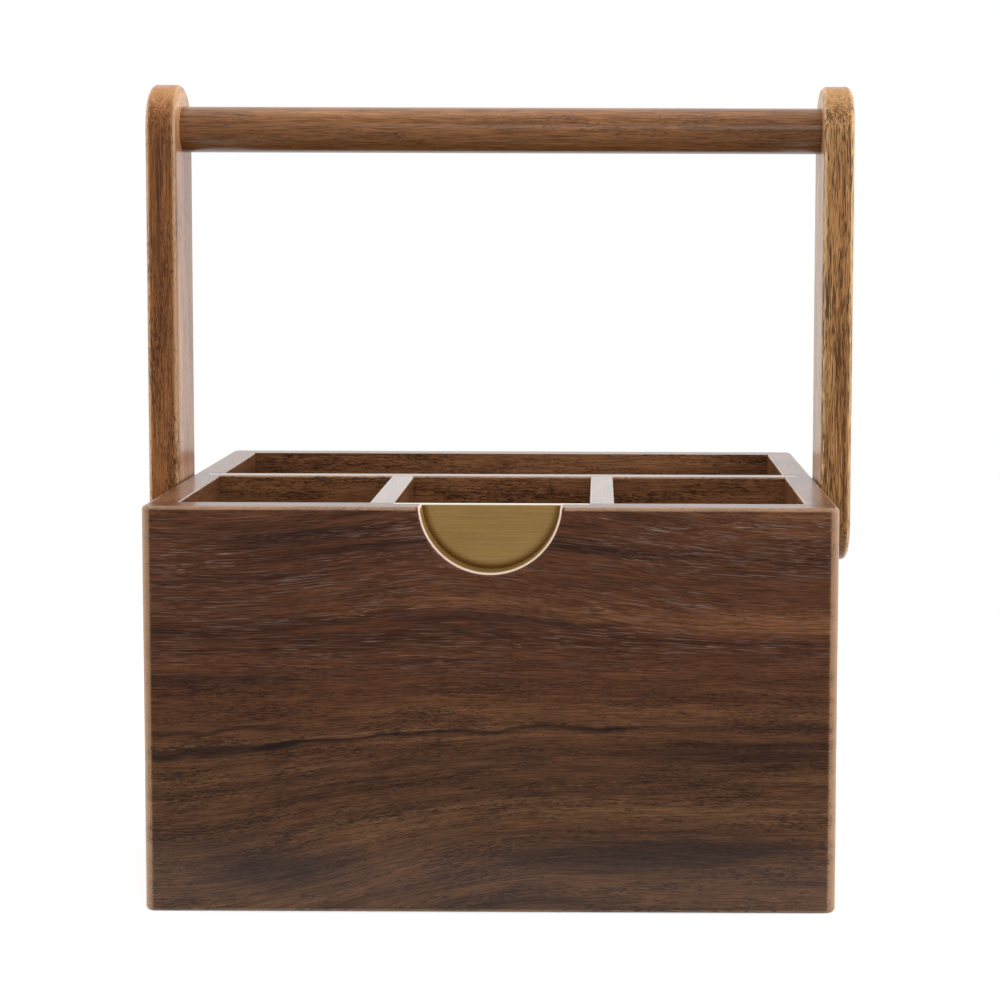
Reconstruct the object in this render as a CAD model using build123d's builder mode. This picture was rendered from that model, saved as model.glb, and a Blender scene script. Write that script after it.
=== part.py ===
from build123d import *
import os

# Walnut utensil caddy with a swinging carrying handle, in millimetres.
# Origin: middle of the underside. +X right, +Y to the rear, +Z up; the notched front faces -Y.

# --- box ---
box_width = 250
box_depth = 198
box_height = 147.5
front_thick = 12.5
back_thick = 12
side_thick = 11.5
corner_round = 4          # upright outer corners
edge_round = 1.5          # top and bottom outer edges, and the rim of the notch
arris_round = 0.6         # inner top edges of the side boards

# --- bottom board, held in a groove of all four walls ---
bottom_thick = 5
groove_rise = 6           # underside of the bottom board above the table
groove_depth = 5
bottom_gap = 0.5          # play of the bottom board at the end of each groove

# --- dividers ---
front_bay_depth = 85      # clear depth of the three front compartments
centre_bay_width = 71     # clear width of the middle one
divider_thick = 9
divider_round = 0.8       # top edges of the dividers
housing_depth = 5         # how far the long divider is let into each side

# --- half-moon notch and the brass plate behind it ---
notch_radius = 25
notch_rise = 1.5          # centre of the arc above the top edge
notch_corner = 1.5        # where the arc meets the top edge
brass_thick = 3
brass_height = 34
brass_fit = 0.1           # play round the plate in its rebate
brass_arris = 0.3

# --- brass screws of the plate ---
screw_diameter = 3
screw_head = 5.6
screw_length = 10
screw_inset = 5.5         # from the plate's upright edges
screw_drop = 17           # below the top edge
screw_fit = 0.05
screw_slot_width = 0.8
screw_slot_depth = 0.6

# --- dowels ---
dowel_diameter = 6
dowel_in_panel = 8        # depth in the front and back boards
dowel_in_side = 16        # depth in the end grain of a side
dowel_count = 2
dowel_low = 34            # height of the lower dowel
dowel_pitch = 80
pin_diameter = 5          # thinner dowels of the short dividers
pin_in_board = 6
pin_in_divider = 14
pin_count = 2
pin_low = 38
pin_pitch = 64
dowel_fit = 0.05          # radial glue gap
dowel_end_gap = 0.5

# --- handle ---
arm_width = 35
arm_thick = 12
arm_round = 2.5
pivot_setback = 92        # pivot behind the front face
pivot_drop = 14.5         # pivot below the top edge
grip_reach = 152.5        # pivot to the middle of the grip
grip_diameter = 18
tenon_diameter = 12
tenon_length = 7
tenon_fit = 0.05
tenon_end_gap = 0.5
tenon_chamfer = 0.8

# --- pivot ---
washer_thick = 0.6
washer_diameter = 18
washer_fit = 0.2
shoulder_diameter = 6
shoulder_fit = 0.05       # running fit of the arm on the shoulder
bolt_head = 13
bolt_head_height = 3
bolt_head_play = 0.5      # radial room of the head in the arm
bolt_head_sink = 0.4      # head below the arm's outer face
bolt_head_chamfer = 0.4
thread_diameter = 5
thread_length = 7
thread_fit = 0.05
socket_across = 3         # hexagon socket, across flats
socket_depth = 1.8
insert_diameter = 9
insert_length = 8
insert_barbs = 2
insert_barb_height = 0.6
insert_fit = 0.05

# --- places worked out from the sizes above ---
half_width = box_width / 2
front_face = -box_depth / 2
back_face = box_depth / 2
front_inner = front_face + front_thick
back_inner = back_face - back_thick
side_inner = half_width - side_thick
side_middle = half_width - side_thick / 2
floor_top = groove_rise + bottom_thick
groove_middle = groove_rise + bottom_thick / 2
long_front = front_inner + front_bay_depth
long_middle = long_front + divider_thick / 2
divider_middle = (centre_bay_width + divider_thick) / 2
brass_back = front_inner - brass_thick
pivot_y = front_face + pivot_setback
pivot_z = box_height - pivot_drop
grip_z = pivot_z + grip_reach
arm_inner = half_width + washer_thick
arm_outer = arm_inner + arm_thick
head_seat = arm_outer - bolt_head_sink - bolt_head_height
dowel_bore = dowel_diameter / 2 + dowel_fit
pin_bore = pin_diameter / 2 + dowel_fit
dowel_levels = [dowel_low + dowel_pitch * i for i in range(dowel_count)]
pin_levels = [pin_low + pin_pitch * i for i in range(pin_count)]
corner_dowel_spots = [(sign * side_middle, z) for sign in (-1, 1) for z in dowel_levels]
pin_spots = [(sign * divider_middle, z) for sign in (-1, 1) for z in pin_levels]
screw_x = centre_bay_width / 2 - screw_inset
screw_spots = [(sign * screw_x, box_height - screw_drop) for sign in (-1, 1)]


# An upright plane at depth y whose sketches read as seen from the front (x to the right, z up);
# extruding by a positive amount goes towards the front.
def front_view(y):
    return Plane.XZ.offset(-y)


# An upright plane at width x (sketch x to the rear, sketch y up); positive amounts go outwards, +X.
def side_view(x):
    return Plane.YZ.offset(x)


# Mouths of bores that run along Y, at (x, z) spots of a face at depth y that looks to the front or rear.
def front_mouths(spots, y):
    return [Location((x, y, z), (90, 0, 0)) for x, z in spots]


def rear_mouths(spots, y):
    return [Location((x, y, z), (-90, 0, 0)) for x, z in spots]


# --- front board: covers the ends of the sides, notched at the top middle ---
with BuildPart() as front_panel:
    with BuildSketch() as front_plan:
        with Locations((0, front_face + front_thick / 2)):
            Rectangle(box_width, front_thick)
        fillet(front_plan.vertices().group_by(Axis.Y)[0], corner_round)
    extrude(amount=box_height)
    with BuildSketch(front_view(front_face)):
        with Locations((0, box_height + notch_rise)):
            Circle(notch_radius)
    extrude(amount=-front_thick, mode=Mode.SUBTRACT)
    crossing_edges = front_panel.edges().filter_by(Axis.Y).group_by(Axis.Z)[-1]
    fillet(crossing_edges.sort_by(lambda edge: abs(edge.center().X))[:2], notch_corner)
    # the top front edges run on round the notch, so one radius rounds the rim as well
    face_edges = front_panel.faces().sort_by(Axis.Y)[0].edges()
    fillet(face_edges.filter_by(Axis.X), edge_round)
    # rebate of the brass plate, open at the top and to the inside
    with BuildSketch(Plane.XY.offset(box_height)):
        with Locations((0, front_inner - brass_thick / 2)):
            Rectangle(centre_bay_width, brass_thick)
    extrude(amount=-brass_height, mode=Mode.SUBTRACT)
    with Locations((0, front_inner - groove_depth / 2, groove_middle)):
        Box(2 * (side_inner + groove_depth), groove_depth, bottom_thick, mode=Mode.SUBTRACT)
    with Locations(*rear_mouths(corner_dowel_spots, front_inner)):
        Hole(dowel_bore, dowel_in_panel + dowel_end_gap)
    with Locations(*rear_mouths(pin_spots, front_inner)):
        Hole(pin_bore, pin_in_board + dowel_end_gap)
    with Locations(*rear_mouths(screw_spots, brass_back)):
        Hole(screw_diameter / 2 + screw_fit, screw_length - brass_thick + dowel_end_gap)

# --- back board: plain, covers the other ends of the sides ---
with BuildPart() as back_panel:
    with BuildSketch() as back_plan:
        with Locations((0, back_face - back_thick / 2)):
            Rectangle(box_width, back_thick)
        fillet(back_plan.vertices().group_by(Axis.Y)[-1], corner_round)
    extrude(amount=box_height)
    fillet(back_panel.faces().sort_by(Axis.Y)[-1].edges().filter_by(Axis.X), edge_round)
    with Locations((0, back_inner + groove_depth / 2, groove_middle)):
        Box(2 * (side_inner + groove_depth), groove_depth, bottom_thick, mode=Mode.SUBTRACT)
    with Locations(*front_mouths(corner_dowel_spots, back_inner)):
        Hole(dowel_bore, dowel_in_panel + dowel_end_gap)

# --- side boards: grooved, housed for the long divider and bored for the pivot insert ---
with BuildPart() as right_side:
    with BuildSketch(front_view(front_inner)) as side_section:
        with Locations((side_middle, box_height / 2)):
            Rectangle(side_thick, box_height)
        fillet(side_section.vertices().group_by(Axis.X)[-1], edge_round)
        fillet(side_section.vertices().group_by(Axis.X)[0].sort_by(Axis.Y)[-1], arris_round)
    extrude(amount=-(back_inner - front_inner))
    with Locations((side_inner + groove_depth / 2, (front_inner + back_inner) / 2, groove_middle)):
        Box(groove_depth, back_inner - front_inner, bottom_thick, mode=Mode.SUBTRACT)
    with BuildSketch(Plane.XY.offset(floor_top)):
        with Locations((side_inner + housing_depth / 2, long_middle)):
            Rectangle(housing_depth, divider_thick)
    extrude(amount=box_height - floor_top, mode=Mode.SUBTRACT)
    side_spots = [(side_middle, z) for z in dowel_levels]
    with Locations(*front_mouths(side_spots, front_inner)):
        Hole(dowel_bore, dowel_in_side + dowel_end_gap)
    with Locations(*rear_mouths(side_spots, back_inner)):
        Hole(dowel_bore, dowel_in_side + dowel_end_gap)
    with Locations(Location((half_width, pivot_y, pivot_z), (0, 90, 0))):
        Hole(insert_diameter / 2 + insert_fit, insert_length)

with BuildPart() as left_side:
    add(mirror(right_side.part, about=Plane.YZ))

# --- bottom board ---
with BuildPart() as bottom_panel:
    with BuildSketch(Plane.XY.offset(groove_rise)):
        with Locations((0, (front_inner + back_inner) / 2)):
            bottom_reach = 2 * (groove_depth - bottom_gap)
            Rectangle(2 * side_inner + bottom_reach, back_inner - front_inner + bottom_reach)
    extrude(amount=bottom_thick)

# --- long divider, from side to side ---
with BuildPart() as long_divider:
    with BuildSketch(side_view(-side_inner - housing_depth)) as long_section:
        with Locations((long_middle, (floor_top + box_height) / 2)):
            Rectangle(divider_thick, box_height - floor_top)
        fillet(long_section.vertices().group_by(Axis.Y)[-1], divider_round)
    extrude(amount=2 * (side_inner + housing_depth))
    with Locations(*front_mouths(pin_spots, long_front)):
        Hole(pin_bore, pin_in_board + dowel_end_gap)

# --- short dividers, from the front board to the long divider ---
with BuildPart() as right_short_divider:
    with BuildSketch(front_view(front_inner)) as short_section:
        with Locations((divider_middle, (floor_top + box_height) / 2)):
            Rectangle(divider_thick, box_height - floor_top)
        fillet(short_section.vertices().group_by(Axis.Y)[-1], divider_round)
    extrude(amount=-front_bay_depth)
    own_pins = [(divider_middle, z) for z in pin_levels]
    with Locations(*front_mouths(own_pins, front_inner), *rear_mouths(own_pins, long_front)):
        Hole(pin_bore, pin_in_divider + dowel_end_gap)

with BuildPart() as left_short_divider:
    add(mirror(right_short_divider.part, about=Plane.YZ))

# --- brass plate, flush with the board's top and inner face ---
with BuildPart() as brass_plate:
    with BuildSketch(Plane.XY.offset(box_height)):
        with Locations((0, front_inner - brass_thick / 2)):
            Rectangle(centre_bay_width - 2 * brass_fit, brass_thick)
    extrude(amount=-(brass_height - brass_fit))
    chamfer(brass_plate.faces().sort_by(Axis.Z)[-1].edges().filter_by(Axis.X), brass_arris)
    with Locations(*rear_mouths(screw_spots, front_inner)):
        CounterSinkHole(screw_diameter / 2 + screw_fit, screw_head / 2 + screw_fit, brass_thick, 90)


# A countersunk screw, its flat head flush with the plate: a revolved half profile about +Z, then a slot.
with BuildPart() as screw_blank:
    screw_point = screw_diameter / 2
    with BuildSketch(Plane.XZ):
        with BuildLine():
            Polyline(
                (0, 0),
                (screw_head / 2, 0),
                (screw_diameter / 2, -(screw_head - screw_diameter) / 2),
                (screw_diameter / 2, -screw_length + screw_point),
                (0, -screw_length),
                close=True,
            )
        make_face()
    revolve(axis=Axis.Z)
    with BuildSketch():
        Rectangle(screw_head, screw_slot_width)
    extrude(amount=-screw_slot_depth, mode=Mode.SUBTRACT)

with BuildPart() as brass_plate_screws:
    for x, z in screw_spots:
        add(screw_blank.part.moved(Location((x, front_inner, z), (-90, 0, 0))))


# A group of dowels along Y: each spot is (x, z), from y_low to y_high.
def dowel_group(spots, diameter, y_low, y_high):
    with BuildPart() as dowels:
        with BuildSketch(front_view(y_low)):
            with Locations(*spots):
                Circle(diameter / 2)
        extrude(amount=y_low - y_high)
    return dowels.part


right_corner = [(side_middle, z) for z in dowel_levels]
left_corner = [(-side_middle, z) for z in dowel_levels]
right_pins = [(divider_middle, z) for z in pin_levels]

with BuildPart() as front_right_dowels:
    add(dowel_group(right_corner, dowel_diameter, front_inner - dowel_in_panel, front_inner + dowel_in_side))
with BuildPart() as front_left_dowels:
    add(dowel_group(left_corner, dowel_diameter, front_inner - dowel_in_panel, front_inner + dowel_in_side))
with BuildPart() as back_right_dowels:
    add(dowel_group(right_corner, dowel_diameter, back_inner - dowel_in_side, back_inner + dowel_in_panel))
with BuildPart() as back_left_dowels:
    add(dowel_group(left_corner, dowel_diameter, back_inner - dowel_in_side, back_inner + dowel_in_panel))
with BuildPart() as right_divider_dowels:
    add(dowel_group(right_pins, pin_diameter, front_inner - pin_in_board, front_inner + pin_in_divider))
    add(dowel_group(right_pins, pin_diameter, long_front - pin_in_divider, long_front + pin_in_board))
with BuildPart() as left_divider_dowels:
    add(mirror(right_divider_dowels.part, about=Plane.YZ))

# --- handle arms: flat bars with full-round ends ---
with BuildPart() as right_arm:
    with BuildSketch(side_view(arm_inner)):
        with Locations((pivot_y, (pivot_z + grip_z) / 2)):
            SlotCenterToCenter(grip_reach, arm_width, rotation=90)
    extrude(amount=arm_thick)
    fillet(right_arm.faces().filter_by(Axis.X).edges(), arm_round)
    with Locations(Location((arm_outer, pivot_y, pivot_z), (0, 90, 0))):
        shoulder_bore = shoulder_diameter / 2 + shoulder_fit
        CounterBoreHole(shoulder_bore, bolt_head / 2 + bolt_head_play, arm_outer - head_seat, arm_thick)
    with Locations(Location((arm_inner, pivot_y, grip_z), (0, -90, 0))):
        Hole(tenon_diameter / 2 + tenon_fit, tenon_length + tenon_end_gap)

with BuildPart() as left_arm:
    add(mirror(right_arm.part, about=Plane.YZ))

# --- grip: a turned rod with a tenon at each end ---
with BuildPart() as handle_rod:
    with BuildSketch(side_view(-arm_inner)):
        with Locations((pivot_y, grip_z)):
            Circle(grip_diameter / 2)
    extrude(amount=2 * arm_inner)
    with BuildSketch(side_view(-arm_inner - tenon_length)):
        with Locations((pivot_y, grip_z)):
            Circle(tenon_diameter / 2)
    extrude(amount=2 * (arm_inner + tenon_length))
    tenon_ends = handle_rod.faces().sort_by(Axis.X)
    chamfer(tenon_ends[0].edges() + tenon_ends[-1].edges(), tenon_chamfer)


# Turned pivot pieces are revolved about Z and then laid along +X, with z = 0 at the side board's face.
def on_right_pivot(piece):
    return piece.moved(Location((half_width, pivot_y, pivot_z), (0, 90, 0)))


# shoulder bolt: thread in the insert, shoulder through washer and arm, low head in the arm's recess
with BuildPart() as bolt_blank:
    seat = head_seat - half_width
    crown = seat + bolt_head_height
    with BuildSketch(Plane.XZ):
        with BuildLine():
            Polyline(
                (0, -thread_length),
                (thread_diameter / 2, -thread_length),
                (thread_diameter / 2, 0),
                (shoulder_diameter / 2, 0),
                (shoulder_diameter / 2, seat),
                (bolt_head / 2, seat),
                (bolt_head / 2, crown - bolt_head_chamfer),
                (bolt_head / 2 - bolt_head_chamfer, crown),
                (0, crown),
                close=True,
            )
        make_face()
    revolve(axis=Axis.Z)
    with BuildSketch(Plane.XY.offset(crown)):
        RegularPolygon(socket_across / 2, 6, major_radius=False)
    extrude(amount=-socket_depth, mode=Mode.SUBTRACT)

# barbed brass insert: each barb widens from the core to the full bore
with BuildPart() as insert_blank:
    core = insert_diameter / 2 - insert_barb_height
    barb_pitch = insert_length / insert_barbs
    with BuildSketch(Plane.XZ):
        with BuildLine():
            barbs = [(thread_diameter / 2 + thread_fit, 0)]
            for i in range(insert_barbs):
                barbs.append((insert_diameter / 2, -i * barb_pitch))
                barbs.append((core, -(i + 1) * barb_pitch))
            barbs.append((thread_diameter / 2 + thread_fit, -insert_length))
            Polyline(*barbs, close=True)
        make_face()
    revolve(axis=Axis.Z)

with BuildPart() as washer_blank:
    with BuildSketch():
        Circle(washer_diameter / 2)
        Circle(shoulder_diameter / 2 + washer_fit, mode=Mode.SUBTRACT)
    extrude(amount=washer_thick)

with BuildPart() as right_pivot_bolt:
    add(on_right_pivot(bolt_blank.part))
with BuildPart() as left_pivot_bolt:
    add(mirror(right_pivot_bolt.part, about=Plane.YZ))
with BuildPart() as right_pivot_insert:
    add(on_right_pivot(insert_blank.part))
with BuildPart() as left_pivot_insert:
    add(mirror(right_pivot_insert.part, about=Plane.YZ))
with BuildPart() as right_pivot_washer:
    add(on_right_pivot(washer_blank.part))
with BuildPart() as left_pivot_washer:
    add(mirror(right_pivot_washer.part, about=Plane.YZ))

# --- one file per piece ---
os.makedirs("parts", exist_ok=True)
pieces = {
    "front_panel": front_panel,
    "back_panel": back_panel,
    "right_side": right_side,
    "left_side": left_side,
    "bottom_panel": bottom_panel,
    "long_divider": long_divider,
    "right_short_divider": right_short_divider,
    "left_short_divider": left_short_divider,
    "brass_plate": brass_plate,
    "brass_plate_screws": brass_plate_screws,
    "front_right_dowels": front_right_dowels,
    "front_left_dowels": front_left_dowels,
    "back_right_dowels": back_right_dowels,
    "back_left_dowels": back_left_dowels,
    "right_divider_dowels": right_divider_dowels,
    "left_divider_dowels": left_divider_dowels,
    "right_arm": right_arm,
    "left_arm": left_arm,
    "handle_rod": handle_rod,
    "right_pivot_bolt": right_pivot_bolt,
    "left_pivot_bolt": left_pivot_bolt,
    "right_pivot_insert": right_pivot_insert,
    "left_pivot_insert": left_pivot_insert,
    "right_pivot_washer": right_pivot_washer,
    "left_pivot_washer": left_pivot_washer,
}
for name, piece in pieces.items():
    piece.part.label = name
    export_step(piece.part, f"parts/{name}.step")
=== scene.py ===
from math import radians

import bpy
from mathutils import Matrix, Vector

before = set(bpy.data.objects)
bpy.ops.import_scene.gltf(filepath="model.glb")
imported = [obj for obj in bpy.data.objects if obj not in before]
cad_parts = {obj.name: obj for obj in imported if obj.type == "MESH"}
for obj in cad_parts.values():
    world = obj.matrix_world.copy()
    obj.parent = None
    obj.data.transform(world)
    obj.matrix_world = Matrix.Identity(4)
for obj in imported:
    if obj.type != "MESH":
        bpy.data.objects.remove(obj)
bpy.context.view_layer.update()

scene = bpy.context.scene
scene.view_settings.view_transform = "Standard"

# Axes: +X right, +Y to the rear, +Z up, metres. The notched front faces -Y.
cameraSet = {
    "place": (0.0387, -0.8550, 0.2450),
    "frameWidth": 36.0,        # mm
    "lens": 76.86,             # mm
    "pitchDown": 4.088,        # degrees, as are the next two
    "yawLeft": 0.187,
    "roll": 0.188,
    "shift": (-0.0919, -0.1138),
    "clipStart": 0.05,
}


def makeCamera(values):
    data = bpy.data.cameras.new("camera")
    data.sensor_width = values["frameWidth"]
    data.lens = values["lens"]
    data.shift_x, data.shift_y = values["shift"]
    data.clip_start = values["clipStart"]
    camera = bpy.data.objects.new("camera", data)
    scene.collection.objects.link(camera)
    turn = (Matrix.Rotation(radians(values["yawLeft"]), 4, "Z")
            @ Matrix.Rotation(radians(90 - values["pitchDown"]), 4, "X")
            @ Matrix.Rotation(radians(values["roll"]), 4, "Z"))
    camera.matrix_world = Matrix.Translation(values["place"]) @ turn
    scene.camera = camera


makeCamera(cameraSet)
print("camera ready")


def put(tree, kind, links=None, **values):
    # one node: settings by attribute name, sockets by their own name or number in "links"
    node = tree.nodes.new(kind)
    for name, value in values.items():
        setattr(node, name, value)
    for name, value in (links or {}).items():
        socket = node.inputs[name]
        if isinstance(value, bpy.types.NodeSocket):
            tree.links.new(value, socket)
        else:
            socket.default_value = value
    return node


def calc(tree, operation, first, second=0.0, third=0.0, clamp=False):
    links = {0: first, 1: second, 2: third}
    return put(tree, "ShaderNodeMath", links, operation=operation, use_clamp=clamp).outputs[0]


def ramp(tree, value, low, high, toLow=0.0, toHigh=1.0):
    links = {"Value": value, "From Min": low, "From Max": high, "To Min": toLow, "To Max": toHigh}
    return put(tree, "ShaderNodeMapRange", links, interpolation_type="SMOOTHSTEP").outputs[0]


def joined(tree, x=0.0, y=0.0, z=0.0):
    return put(tree, "ShaderNodeCombineXYZ", {0: x, 1: y, 2: z}).outputs[0]


def mixValue(tree, factor, first, second):
    # sockets 2 and 3 are the two values
    return put(tree, "ShaderNodeMix", {0: factor, 2: first, 3: second}).outputs[0]


def mixColor(tree, factor, first, second, blend="MIX"):
    # sockets 6 and 7 are the two colours, and so is output 2
    ends = [end if isinstance(end, bpy.types.NodeSocket) else (*end, 1.0) for end in (first, second)]
    links = {0: factor, 6: ends[0], 7: ends[1]}
    return put(tree, "ShaderNodeMix", links, data_type="RGBA", blend_type=blend).outputs[2]


def timesColor(tree, color, tint):
    return mixColor(tree, 1.0, color, tint, "MULTIPLY")


def timesValue(tree, color, value):
    return timesColor(tree, color, joined(tree, value, value, value))


def parts(tree, vector):
    # the sockets X, Y and Z of a vector
    return put(tree, "ShaderNodeSeparateXYZ", {0: vector}).outputs


def vectorCalc(tree, operation, first, second):
    return put(tree, "ShaderNodeVectorMath", {0: first, 1: second}, operation=operation).outputs[0]


def length(tree, vector):
    return put(tree, "ShaderNodeVectorMath", {0: vector}, operation="LENGTH").outputs["Value"]


def objectPlace(tree):
    return put(tree, "ShaderNodeTexCoord").outputs["Object"]


def facing(tree):
    # the surface's normal, in the object's own axes
    return parts(tree, put(tree, "ShaderNodeTexCoord").outputs["Normal"])


def noise(tree, vector, scale, detail=2.0, rough=0.5, distort=0.0):
    links = {"Vector": vectorCalc(tree, "MULTIPLY", vector, scale), "Scale": 1.0, "Detail": detail,
             "Roughness": rough, "Distortion": distort}
    return put(tree, "ShaderNodeTexNoise", links, noise_dimensions="3D").outputs[0]


def newMaterial(name):
    material = bpy.data.materials.new(name)
    material.use_nodes = True
    tree = material.node_tree
    tree.nodes.clear()
    output = put(tree, "ShaderNodeOutputMaterial")
    return material, tree, output


def finishSurface(tree, output, links):
    surface = put(tree, "ShaderNodeBsdfPrincipled", links)
    tree.links.new(surface.outputs[0], output.inputs[0])


def bumped(tree, height, depth, strength):
    links = {"Height": height, "Distance": depth, "Strength": strength}
    return put(tree, "ShaderNodeBump", links).outputs[0]


def dress(nodeName, material):
    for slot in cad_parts[nodeName].material_slots:
        slot.material = material


# The half-moon notch, seen from the front. Offsets are distances outside the arc's radius.
notchSet = {
    "middle": (0.0, 0.0, 0.149),      # of the arc
    "radius": 0.025,
    # painted shade on the notch's wall
    "wallShadeColor": (0.13, 0.078, 0.024),
    "wallShadeEdge": (0.0003, 0.0001),     # offsets of the wall's painted shade, none to full
    # painted highlight: a pale line round the notch's rim
    "rimHighlightColor": (0.54, 0.40, 0.32),
    "lineOffset": 0.0005,
    "lineHalf": (0.00045, 0.00020),   # half width of the line, none to full
    "rimHighlightStrength": 0.9,
    "wearAndHighlightEdge": (0.0010, 0.0024),   # offsets of the board's worn edge with its painted highlight, none to full
}


def notchAway(tree, notch):
    # distance from the middle of the arc, seen from the front
    away = vectorCalc(tree, "SUBTRACT", objectPlace(tree), notch["middle"])
    return length(tree, vectorCalc(tree, "MULTIPLY", away, (1.0, 0.0, 1.0)))


def outsideNotch(tree, notch, offsets):
    # 0 at the first offset from the arc, 1 at the second
    return ramp(tree, notchAway(tree, notch), *(notch["radius"] + offset for offset in offsets))


# the painted highlight round the notch's rim
def notchRimHighlight(tree, notch):
    middle = notch["radius"] + notch["lineOffset"]
    away = calc(tree, "ABSOLUTE", calc(tree, "SUBTRACT", notchAway(tree, notch), middle))
    return ramp(tree, away, *notch["lineHalf"], 0.0, notch["rimHighlightStrength"])


# Walnut. Wood coordinates: u along the grain, v and w across it, in metres. Growth bands, streaks and
# fibres are noises stretched along u, pores are short dashes cut out of finer ones, veins are drawn.
# A "Noise" pair is the part of a noise's range that is used, and a "Span" runs from none to full.
walnutSet = {
    "dark": (0.033, 0.0115, 0.0048),
    "middle": (0.082, 0.0300, 0.0112),
    "light": (0.150, 0.064, 0.024),
    "wander": 0.005,                  # sideways drift of the grain lines
    "wanderScale": (9.0, 26.0, 26.0),
    "bandScale": (3.0, 60.0, 60.0),
    "bandShare": 0.72,
    "streakScale": (10.0, 420.0, 420.0),
    "streakShare": 0.40,
    "toneSpan": (0.36, 0.56, 0.80),   # dark to middle to light
    "fibreScale": (90.0, 2400.0, 2400.0),
    "fibreNoise": (0.3, 0.7),
    "fibreTone": (0.62, 1.42),
    "broadSpan": (0.8, 1.0),          # share of the face's own direction in the normal, for the painted light on broad faces
    "swells": (),
    "patches": (),
    "patchSpan": (1.3, 0.1),          # share of a patch's half size
    "veins": (),
    "vein": (0.013, 0.0055, 0.0040),
    "veinFade": 0.02,                 # length over which a vein starts and ends
    "kink": 0.006,                    # how far a vein strays
    "kinkScale": (55.0, 120.0, 120.0),
    "raggedScale": (22.0, 700.0, 700.0),
    "raggedNoise": (0.36, 0.60),
    "raggedLeast": 0.65,              # strength of a vein where it is thinnest
    "pore": (0.015, 0.0055, 0.0030),
    "poreStrength": 0.88,
    "finePoreScale": (420.0, 5000.0, 5000.0),
    "finePoreLimit": 0.56,
    "finePoreSoft": 0.05,
    "coarsePoreScale": (230.0, 3500.0, 3500.0),
    "coarsePoreLimit": 0.62,
    "coarsePoreSoft": 0.06,
    "crowdScale": (26.0, 150.0, 150.0),   # pores gather in crowds
    "crowdNoise": (0.3, 0.7),
    "crowdShift": (-0.10, 0.07),
    "endGrainSpan": (0.35, 0.85),     # share of the grain's direction in the normal
    "endGrainPores": 0.3,             # what is left of the pores on end grain
    "wearAndHighlight": 0.60,                   # how far the rounded edges are worn paler, with a painted highlight
    "wearAndHighlightColor": (0.33, 0.200, 0.115),
    "wearAndHighlightSpan": (0.9995, 0.955),    # largest share of one axis in the normal
    "roundEnds": False,               # the piece turns round its own outline, like the arms
    "roughness": 0.32,
    "roughnessSpread": (-0.05, 0.06),
    "gloss": 0.10,                    # specular level of the bare wood
    "lacquer": 0.55,
    "lacquerRoughness": 0.18,
    "lacquerIor": 1.42,
    "fibreHeight": 0.3,               # share of a pore's depth
    "bumpDepth": 0.000012,
}

# Pores of the front board that are filled with pale finish, from a height upwards.
filledSet = {
    "color": (0.24, 0.17, 0.145),
    "zone": (0.078, 0.098),           # heights, none to full
    "scale": (60.0, 5200.0, 5200.0),
    "noise": (0.63, 0.66),
    "crowdScale": (14.0, 110.0, 110.0),
    "crowdNoise": (0.36, 0.66),
    "strength": (0.1, 0.75),          # outside and inside the crowds
    "darkPores": -0.5,                # change of the dark pores in the zone
}

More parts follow.
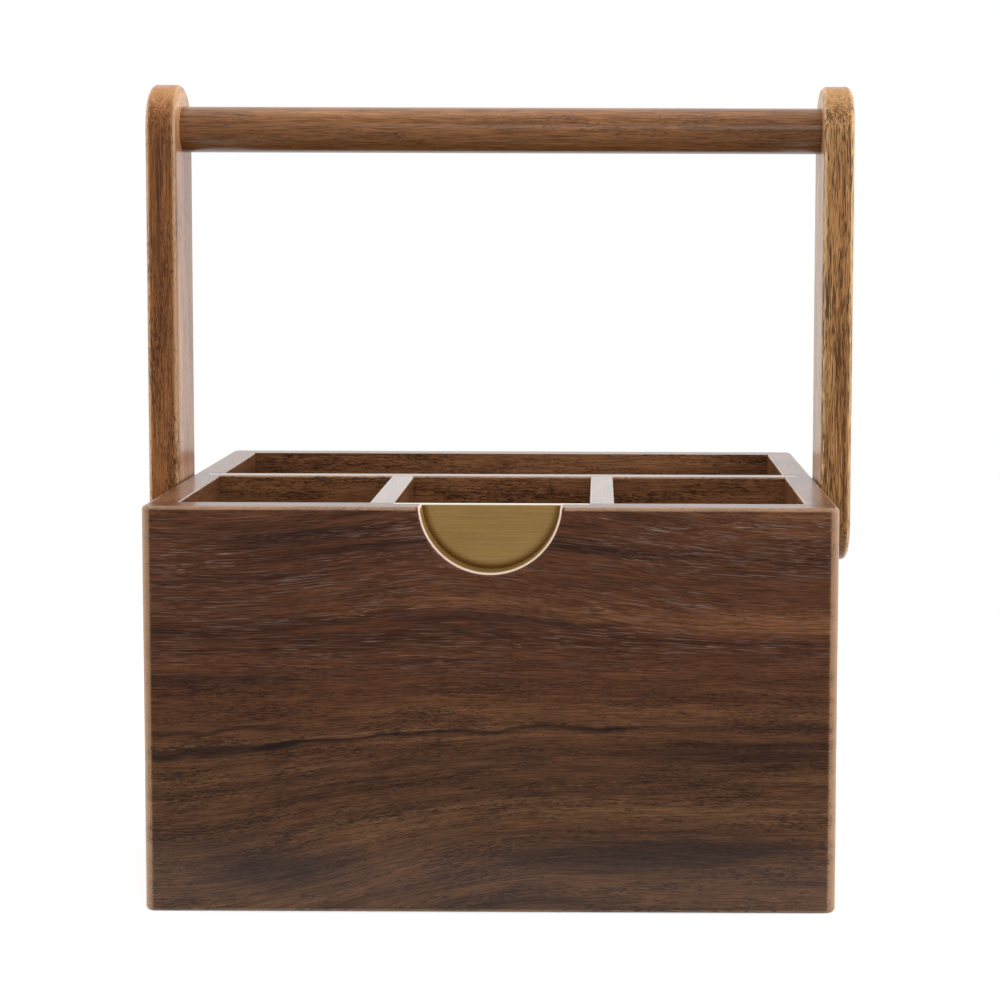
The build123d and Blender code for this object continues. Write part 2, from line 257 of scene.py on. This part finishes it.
# "axes" names the row axes that run along the grain, across the face and through the board.
# A swell bends the grain: start u, end u, rise, and the heights v where it is full and where it ends.
# A vein is dark: height v, half width, strength, and the u from which to which it runs.
# A patch is paler or darker: middle u and v, half length, half height, change of tone.
paler = {"dark": (0.050, 0.020, 0.009), "middle": (0.118, 0.048, 0.020), "light": (0.20, 0.092, 0.042)}
palest = {"dark": (0.065, 0.026, 0.011), "middle": (0.158, 0.065, 0.026), "light": (0.26, 0.122, 0.055)}
armSet = {"axes": "ZYX", "roundEnds": True, "wearAndHighlightSpan": (0.999, 0.80)}
boards = {
    "front_panel": {
        "axes": "XZY", "shift": (0.37, 0.11, 0.20),
        "swells": (
            (-0.125, 0.03, 0.028, 0.020, 0.100),
            (-0.10, -0.01, 0.008, 0.125, 0.085),
            (-0.02, 0.12, -0.012, 0.125, 0.070),
        ),
        "veins": (
            (0.0575, 0.0034, 0.95, -0.16, -0.06), (0.0582, 0.0020, 0.90, -0.09, 0.06),
            (0.0590, 0.0026, 0.50, 0.03, 0.15), (0.0655, 0.0014, 0.70, -0.14, -0.06),
            (0.0425, 0.0030, 0.40, -0.14, 0.03), (0.0225, 0.0036, 0.30, -0.14, 0.08),
            (0.1020, 0.0018, 0.75, -0.14, -0.09), (0.1040, 0.0024, 0.60, -0.09, 0.06),
            (0.1355, 0.0016, 0.60, -0.10, -0.045),
        ),
        "patches": (
            (-0.085, 0.118, 0.085, 0.045, -0.14), (-0.06, 0.082, 0.08, 0.011, 0.07),
            (0.080, 0.122, 0.07, 0.030, 0.05), (0.00, 0.074, 0.08, 0.010, 0.02),
            (0.108, 0.107, 0.045, 0.008, 0.16), (-0.080, 0.017, 0.042, 0.012, -0.20),
            (-0.108, 0.040, 0.03, 0.010, 0.05), (0.060, 0.023, 0.075, 0.010, -0.17),
            (0.075, 0.008, 0.06, 0.004, 0.12),
        ),
        "lowTint": (0.965, 1.12, 1.24), "highTint": (0.93, 0.88, 0.92), "tintSpan": (0.045, 0.095),
        "filled": filledSet, "notch": notchSet,
    },
    "back_panel": {
        "axes": "XZY", "shift": (1.93, 0.47, 0.81),
        **paler, "middle": (0.138, 0.058, 0.025), "light": (0.225, 0.106, 0.050),
    },
    "right_side": {"axes": "YZX", "shift": (2.61, 0.83, 0.35), **paler},
    "left_side": {"axes": "YZX", "shift": (3.37, 0.29, 0.62), **paler},
    "bottom_panel": {"axes": "XYZ", "shift": (4.21, 0.71, 0.15)},
    "long_divider": {"axes": "XZY", "shift": (5.13, 0.59, 0.92), **palest, "lacquer": 0.9},
    "right_short_divider": {"axes": "YZX", "shift": (6.47, 0.13, 0.44), **palest, "lacquer": 1.0},
    "left_short_divider": {"axes": "YZX", "shift": (7.29, 0.97, 0.76), **palest, "lacquer": 1.0},
    "right_arm": {
        **armSet, "shift": (8.83, 0.41, 0.27),
        "dark": (0.098, 0.041, 0.013), "middle": (0.222, 0.100, 0.034), "light": (0.33, 0.172, 0.066),
        "streakScale": (6.0, 750.0, 750.0), "streakShare": 0.62, "paintedLightFaceTint": (1.15, 1.22, 1.35),
        "patches": ((0.303, -0.007, 0.022, 0.05, 0.12),),
        "pore": (0.050, 0.020, 0.008), "crowdScale": (18.0, 500.0, 500.0),
        "finePoreScale": (170.0, 4200.0, 4200.0), "finePoreLimit": 0.53,
        "coarsePoreScale": (90.0, 2700.0, 2700.0), "coarsePoreLimit": 0.57,
        "wearAndHighlightColor": (0.46, 0.32, 0.17), "lacquer": 0.32,
    },
    "left_arm": {
        **armSet, "shift": (9.71, 0.67, 0.53),
        "dark": (0.076, 0.027, 0.009), "middle": (0.178, 0.068, 0.022), "light": (0.33, 0.150, 0.054),
        "streakScale": (7.0, 650.0, 650.0), "paintedLightFaceTint": (1.30, 1.50, 1.90),
        "patches": ((0.303, -0.007, 0.024, 0.05, 0.24),),
        "pore": (0.046, 0.016, 0.006),
        "wearAndHighlightColor": (0.40, 0.26, 0.15), "lacquer": 0.42,
    },
    "handle_rod": {
        "axes": "XYZ", "shift": (10.57, 0.23, 0.39),
        "dark": (0.080, 0.033, 0.012), "middle": (0.165, 0.068, 0.023), "light": (0.30, 0.140, 0.052),
        "streakShare": 0.35,
        "pore": (0.058, 0.023, 0.010), "finePoreLimit": 0.62, "coarsePoreLimit": 0.70,
        "wearAndHighlight": 0.0, "lacquer": 0.95,
    },
}


def woodCoordinates(tree, values):
    # u, v, the bent v, and the whole place in the wood, shifted to the board's own figure
    apart = parts(tree, objectPlace(tree))
    along, across, through = (apart[axis] for axis in values["axes"])
    bent = across
    for start, end, rise, full, gone in values["swells"]:
        height = ramp(tree, across, gone, full, 0.0, rise)
        lift = calc(tree, "MULTIPLY", ramp(tree, along, start, end), height)
        bent = calc(tree, "SUBTRACT", bent, lift)
    moved = vectorCalc(tree, "ADD", joined(tree, along, bent, through), values["shift"])
    drift = calc(tree, "SUBTRACT", noise(tree, moved, values["wanderScale"], detail=3.0, rough=0.55), 0.5)
    drift = calc(tree, "MULTIPLY", drift, values["wander"])
    place = vectorCalc(tree, "ADD", moved, joined(tree, 0.0, drift, drift))
    return along, across, calc(tree, "ADD", bent, drift), place


def patchTone(tree, values, along, across):
    # soft ellipses on the board's face, added up
    spot = joined(tree, along, across)
    total = 0.0
    for middle, height, halfLength, halfHeight, change in values["patches"]:
        away = vectorCalc(tree, "SUBTRACT", spot, (middle, height, 0.0))
        away = vectorCalc(tree, "MULTIPLY", away, (1.0 / halfLength, 1.0 / halfHeight, 0.0))
        patch = ramp(tree, length(tree, away), *values["patchSpan"], 0.0, change)
        total = calc(tree, "ADD", patch, total)
    return total


def woodTone(tree, values, along, across, place):
    # how light the wood is, before it is coloured by "toneSpan"
    bands = noise(tree, place, values["bandScale"], detail=3.0, rough=0.6, distort=0.5)
    streaks = noise(tree, place, values["streakScale"], detail=4.0, rough=0.7)
    tone = calc(tree, "MULTIPLY_ADD", streaks, values["streakShare"],
                calc(tree, "MULTIPLY", bands, values["bandShare"]))
    if values["patches"]:
        tone = calc(tree, "ADD", tone, patchTone(tree, values, along, across))
    return tone


def woodColor(tree, values, across, tone, fibres, normal):
    dark, middle, light = values["toneSpan"]
    lower = mixColor(tree, ramp(tree, tone, dark, middle), values["dark"], values["middle"])
    color = mixColor(tree, ramp(tree, tone, middle, light), lower, values["light"])
    color = timesValue(tree, color, ramp(tree, fibres, *values["fibreNoise"], *values["fibreTone"]))
    if "tintSpan" in values:
        # more golden below, redder above
        height = ramp(tree, across, *values["tintSpan"])
        color = timesColor(tree, color, mixColor(tree, height, values["lowTint"], values["highTint"]))
    if "paintedLightFaceTint" in values:
        # painted light: the broad faces are painted paler than the edges, for the strong side light on
        # them
        broad = calc(tree, "ABSOLUTE", normal[values["axes"][2]])
        tinted = timesColor(tree, color, values["paintedLightFaceTint"])
        color = mixColor(tree, ramp(tree, broad, *values["broadSpan"]), color, tinted)
    return color


def veinMask(tree, values, along, level, place):
    # dark veins at their heights, kinked, faded in and out along the board and ragged from a long noise
    fade = values["veinFade"]
    kink = calc(tree, "SUBTRACT", noise(tree, place, values["kinkScale"]), 0.5)
    level = calc(tree, "MULTIPLY_ADD", kink, values["kink"], level)
    total = 0.0
    for height, halfWidth, strength, start, end in values["veins"]:
        away = calc(tree, "ABSOLUTE", calc(tree, "SUBTRACT", level, height))
        begun = ramp(tree, along, start, start + fade)
        unended = ramp(tree, along, end, end - fade)
        run = calc(tree, "MULTIPLY", begun, unended)
        total = calc(tree, "MULTIPLY_ADD", ramp(tree, away, halfWidth, 0.0, 0.0, strength), run, total)
    ragged = noise(tree, place, values["raggedScale"], detail=3.0, rough=0.65)
    ragged = ramp(tree, ragged, *values["raggedNoise"], values["raggedLeast"], 1.0)
    return calc(tree, "MULTIPLY", total, ragged, clamp=True)


def wearAndHighlightMask(tree, values, normal):
    # wear and painted highlight: none on flat faces, full on rounded edges: the largest share that one
    # axis has in the normal. On a piece that turns round its own outline, the two axes across the board
    # count as one.
    along, across, through = (calc(tree, "ABSOLUTE", normal[axis]) for axis in values["axes"])
    if values["roundEnds"]:
        rim = length(tree, joined(tree, along, across))
    else:
        rim = calc(tree, "MAXIMUM", along, across)
    share = calc(tree, "MAXIMUM", rim, through)
    wornAndLit = ramp(tree, share, *values["wearAndHighlightSpan"], 0.0, values["wearAndHighlight"])
    if "notch" in values:
        notch = values["notch"]
        wornAndLit = calc(tree, "MULTIPLY", wornAndLit, outsideNotch(tree, notch, notch["wearAndHighlightEdge"]))
    return wornAndLit


def poreMask(tree, values, place):
    # short dashes of two sizes, gathered in crowds
    crowd = noise(tree, place, values["crowdScale"], detail=3.0, rough=0.6)
    crowd = ramp(tree, crowd, *values["crowdNoise"], *values["crowdShift"])
    pores = 0.0
    for kind in ("finePore", "coarsePore"):
        dashes = calc(tree, "ADD", noise(tree, place, values[kind + "Scale"], detail=1.0), crowd)
        limit = values[kind + "Limit"]
        pores = calc(tree, "MAXIMUM", pores, ramp(tree, dashes, limit, limit + values[kind + "Soft"]))
    return pores


def addPores(tree, values, color, pores, across, place, normal):
    depth = calc(tree, "MULTIPLY", pores, values["poreStrength"])
    filled = values.get("filled")
    if filled:
        zone = ramp(tree, across, *filled["zone"])
        depth = calc(tree, "MULTIPLY", depth, calc(tree, "MULTIPLY_ADD", zone, filled["darkPores"], 1.0))
    endGrain = calc(tree, "ABSOLUTE", normal[values["axes"][0]])
    left = ramp(tree, endGrain, *values["endGrainSpan"], 1.0, values["endGrainPores"])
    color = mixColor(tree, calc(tree, "MULTIPLY", depth, left), color, values["pore"])
    if filled:
        dashes = ramp(tree, noise(tree, place, filled["scale"], detail=1.0), *filled["noise"])
        crowd = noise(tree, place, filled["crowdScale"], detail=3.0)
        crowd = ramp(tree, crowd, *filled["crowdNoise"], *filled["strength"])
        mask = calc(tree, "MULTIPLY", calc(tree, "MULTIPLY", dashes, crowd), zone)
        color = mixColor(tree, mask, color, filled["color"])
    return color


def walnut(name, board):
    values = {**walnutSet, **board}
    material, tree, output = newMaterial(name)
    along, across, level, place = woodCoordinates(tree, values)
    normal = facing(tree)
    fibres = noise(tree, place, values["fibreScale"], rough=0.6)
    tone = woodTone(tree, values, along, across, place)
    color = woodColor(tree, values, across, tone, fibres, normal)
    if values["veins"]:
        color = mixColor(tree, veinMask(tree, values, along, level, place), color, values["vein"])
    # rounded edges: paler from wear, plus a painted highlight
    if values["wearAndHighlight"]:
        color = mixColor(tree, wearAndHighlightMask(tree, values, normal), color, values["wearAndHighlightColor"])
    pores = poreMask(tree, values, place)
    color = addPores(tree, values, color, pores, across, place, normal)
    lacquer, gloss = values["lacquer"], values["gloss"]
    if "notch" in values:
        # painted shade: dark gold and dull inside the notch, and a painted highlight as a pale line round
        # its rim
        notch = values["notch"]
        wall = outsideNotch(tree, notch, notch["wallShadeEdge"])
        color = mixColor(tree, wall, color, notch["wallShadeColor"])
        color = mixColor(tree, notchRimHighlight(tree, notch), color, notch["rimHighlightColor"])
        lacquer = calc(tree, "MULTIPLY_ADD", wall, -lacquer, lacquer)
        gloss = calc(tree, "MULTIPLY_ADD", wall, -gloss, gloss)
    smooth, rough = (values["roughness"] + change for change in values["roughnessSpread"])
    height = calc(tree, "MULTIPLY_ADD", fibres, values["fibreHeight"], calc(tree, "MULTIPLY", pores, -1.0))
    finishSurface(tree, output, {
        "Base Color": color,
        "Roughness": ramp(tree, fibres, *values["fibreNoise"], smooth, rough),
        "Normal": bumped(tree, height, values["bumpDepth"], 1.0),
        "Specular IOR Level": gloss,
        "Coat Weight": lacquer,
        "Coat Roughness": values["lacquerRoughness"],
        "Coat IOR": values["lacquerIor"],
    })
    return material


for nodeName, board in boards.items():
    dress(nodeName, walnut("walnut_" + nodeName, board))
print("walnut ready")


# Brass: the plate is brushed along X, with painted shade along the notch's arc and a painted highlight on
# its top edge, the pivots are turned.
brassSet = {
    "color": (0.93, 0.575, 0.205),
    "cloud": (0.80, 0.48, 0.155),
    "cloudScale": (40.0, 60.0, 60.0),
    "cloudShare": 0.5,
    "grain": (45.0, 5200.0, 5200.0),
    "toneNoise": (0.35, 0.65),
    "brushed": 0.06,                  # how far the brushed lines are lighter and darker
    "roughness": 0.24,
    "roughnessNoise": (0.3, 0.7),
    "spread": 0.06,                   # of the roughness
    "bumpDepth": 0.00001,
    "bumpStrength": 0.6,
    "notch": notchSet,
    "ringSpan": (0.0218, 0.0246),     # distances from the middle of the arc for the painted shade, none to full
    "ringStrength": 0.80,
    "ringColor": (0.30, 0.155, 0.050),
    "topHighlightSpan": (0.1468, 0.1472), # heights of the painted highlight at the plate's top edge, none to full
    "topHighlightColor": (1.0, 0.90, 0.70),
}
pivotSet = {
    **brassSet, "color": (0.74, 0.50, 0.23), "cloud": (0.66, 0.43, 0.19),
    "grain": (3000.0, 900.0, 900.0), "brushed": 0.05, "roughness": 0.30, "notch": None,
}


def brass(name, values):
    material, tree, output = newMaterial(name)
    place = objectPlace(tree)
    brushed = noise(tree, place, values["grain"], rough=0.6)
    cloudy = noise(tree, place, values["cloudScale"])
    cloudy = ramp(tree, cloudy, *values["toneNoise"], 0.0, values["cloudShare"])
    color = mixColor(tree, cloudy, values["color"], values["cloud"])
    lines = values["brushed"]
    color = timesValue(tree, color, ramp(tree, brushed, *values["toneNoise"], 1.0 - lines, 1.0 + lines))
    if values["notch"]:
        # painted shade and reflection of the notch's wall, on the front of the plate only
        front = calc(tree, "MULTIPLY", facing(tree)["Y"], -1.0, clamp=True)
        away = notchAway(tree, values["notch"])
        ring = ramp(tree, away, *values["ringSpan"], 0.0, values["ringStrength"])
        color = mixColor(tree, calc(tree, "MULTIPLY", ring, front), color, values["ringColor"])
        # painted highlight along the plate's top edge
        edge = ramp(tree, parts(tree, place)["Z"], *values["topHighlightSpan"])
        color = mixColor(tree, edge, color, values["topHighlightColor"])
    rough, spread = values["roughness"], values["spread"]
    finishSurface(tree, output, {
        "Base Color": color,
        "Metallic": 1.0,
        "Roughness": ramp(tree, brushed, *values["roughnessNoise"], rough - spread, rough + spread),
        "Normal": bumped(tree, brushed, values["bumpDepth"], values["bumpStrength"]),
    })
    return material


plateBrass = brass("plate_brass", brassSet)
pivotBrass = brass("pivot_brass", pivotSet)
for nodeName in ("brass_plate", "brass_plate_screws"):
    dress(nodeName, plateBrass)
for nodeName in ("right_pivot_bolt", "left_pivot_bolt", "right_pivot_insert", "left_pivot_insert"):
    dress(nodeName, pivotBrass)
print("brass ready")


# Beech dowels inside the joints and the thin dark washers between arm and side.
plainSet = {
    "toneNoise": (0.35, 0.7),
    "roughnessNoise": (0.3, 0.7),
    "spread": 0.05,                   # of the roughness
    "bumpDepth": 0.00003,
    "bumpStrength": 0.7,
}
beechSet = {
    **plainSet, "color": (0.52, 0.36, 0.22), "deep": (0.36, 0.22, 0.12),
    "scale": (220.0, 1400.0, 1400.0), "roughness": 0.6,
}
washerSet = {
    **plainSet, "color": (0.014, 0.012, 0.011), "deep": (0.022, 0.019, 0.017),
    "scale": (900.0, 900.0, 900.0), "roughness": 0.45,
}


def plain(name, values):
    material, tree, output = newMaterial(name)
    grain = noise(tree, objectPlace(tree), values["scale"], rough=0.6)
    tone = ramp(tree, grain, *values["toneNoise"])
    rough, spread = values["roughness"], values["spread"]
    finishSurface(tree, output, {
        "Base Color": mixColor(tree, tone, values["color"], values["deep"]),
        "Roughness": ramp(tree, grain, *values["roughnessNoise"], rough - spread, rough + spread),
        "Normal": bumped(tree, grain, values["bumpDepth"], values["bumpStrength"]),
    })
    return material


beech = plain("beech", beechSet)
washer = plain("washer", washerSet)
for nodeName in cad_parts:
    if nodeName.endswith("_dowels"):
        dress(nodeName, beech)
    elif nodeName.endswith("_washer"):
        dress(nodeName, washer)
print("dowels and washers ready")


# Soft lamps around the box. The studio is darker behind the camera, and the floor runs out into white.
lightSet = {
    "worldDiffuse": 0.70,
    "worldFront": 0.27,         # what glossy surfaces see behind the camera
    "worldSpan": (-0.70, 0.0),
    "lamps": (
        # name, place, target, width, height, power in watts
        ("left", (-1.5, -0.15, 0.40), (0, 0, 0.15), 0.9, 0.6, 29.0),
        ("right", (1.5, -0.15, 0.40), (0, 0, 0.15), 0.9, 0.6, 35.0),
        ("above", (0.0, -0.25, 1.55), (0, 0, 0.15), 2.0, 1.4, 23.0),
        ("front", (0.3, -1.9, 0.9), (0, 0, 0.10), 1.2, 0.8, 4.0),
        ("rear", (0.0, 1.8, 0.60), (0, 0, 0.15), 2.2, 0.7, 9.0),
    ),
    "unseenInGloss": ("left", "right", "above", "rear"),   # so that brass doesn't burn out to white
}
floorSet = {
    "half": 4.0,                # half the floor's width
    "color": 0.4,
    "glow": 0.50,               # added white for camera and glossy rays
    "far": 0.35,                # light that the distant floor throws back
    "front": (-0.11, -0.22),    # y, where the floor turns into the dark side of the studio
    "span": (0.30, 0.62),       # distance from the middle, where the floor turns into the backdrop
}


def shownOrGlossy(tree, glossy, other):
    # 1 for camera and transmission rays, "glossy" for glossy rays, "other" for rays that light the object
    path = put(tree, "ShaderNodeLightPath").outputs
    strength = mixValue(tree, path["Is Glossy Ray"], other, glossy)
    shown = calc(tree, "MAXIMUM", path["Is Camera Ray"], path["Is Transmission Ray"])
    return mixValue(tree, shown, strength, 1.0)


def makeWorld(values):
    world = bpy.data.worlds.new("studio")
    world.use_nodes = True
    tree = world.node_tree
    tree.nodes.clear()
    ways = parts(tree, put(tree, "ShaderNodeTexCoord").outputs["Generated"])
    glossy = ramp(tree, ways["Y"], *values["worldSpan"], values["worldFront"], 1.0)
    strength = shownOrGlossy(tree, glossy, values["worldDiffuse"])
    back = put(tree, "ShaderNodeBackground", {"Color": (1, 1, 1, 1), "Strength": strength})
    put(tree, "ShaderNodeOutputWorld", {0: back.outputs[0]})
    scene.world = world


def makeLamps(values):
    for name, place, target, width, height, power in values["lamps"]:
        data = bpy.data.lights.new(name, "AREA")
        data.shape = "RECTANGLE"
        data.size, data.size_y = width, height
        data.energy = power
        lamp = bpy.data.objects.new(name, data)
        scene.collection.objects.link(lamp)
        aim = (Vector(target) - Vector(place)).to_track_quat("-Z", "Y")
        lamp.matrix_world = Matrix.Translation(place) @ aim.to_matrix().to_4x4()
        lamp.visible_camera = False
        lamp.visible_glossy = name not in values["unseenInGloss"]


def floorMaterial(values, worldFront):
    material, tree, output = newMaterial("floor")
    place = objectPlace(tree)
    depth = parts(tree, place)["Y"]
    tone = values["color"]
    matte = put(tree, "ShaderNodeBsdfDiffuse", {"Color": (tone, tone, tone, 1)})
    glow = calc(tree, "MULTIPLY", shownOrGlossy(tree, 1.0, 0.0), values["glow"])
    glow = put(tree, "ShaderNodeEmission", {"Strength": glow})
    lit = put(tree, "ShaderNodeAddShader", {0: matte.outputs[0], 1: glow.outputs[0]})
    near, far = values["front"]
    glossy = ramp(tree, depth, far, near, worldFront, 1.0)
    white = put(tree, "ShaderNodeEmission", {"Strength": shownOrGlossy(tree, glossy, values["far"])})
    # what stands in front of the object's face is the dark side of the studio, also in the floor
    glossyRay = put(tree, "ShaderNodeLightPath").outputs["Is Glossy Ray"]
    front = calc(tree, "MULTIPLY", glossyRay, ramp(tree, depth, near, far))
    share = calc(tree, "MAXIMUM", ramp(tree, length(tree, place), *values["span"]), front)
    both = put(tree, "ShaderNodeMixShader", {0: share, 1: lit.outputs[0], 2: white.outputs[0]})
    tree.links.new(both.outputs[0], output.inputs[0])
    return material


def makeFloor(values, worldFront):
    half = values["half"]
    corners = [(-half, -half, 0), (half, -half, 0), (half, half, 0), (-half, half, 0)]
    mesh = bpy.data.meshes.new("floor")
    mesh.from_pydata(corners, [], [(0, 1, 2, 3)])
    mesh.materials.append(floorMaterial(values, worldFront))
    floor = bpy.data.objects.new("floor", mesh)
    scene.collection.objects.link(floor)


makeWorld(lightSet)
makeLamps(lightSet)
makeFloor(floorSet, lightSet["worldFront"])
print("light and floor ready")
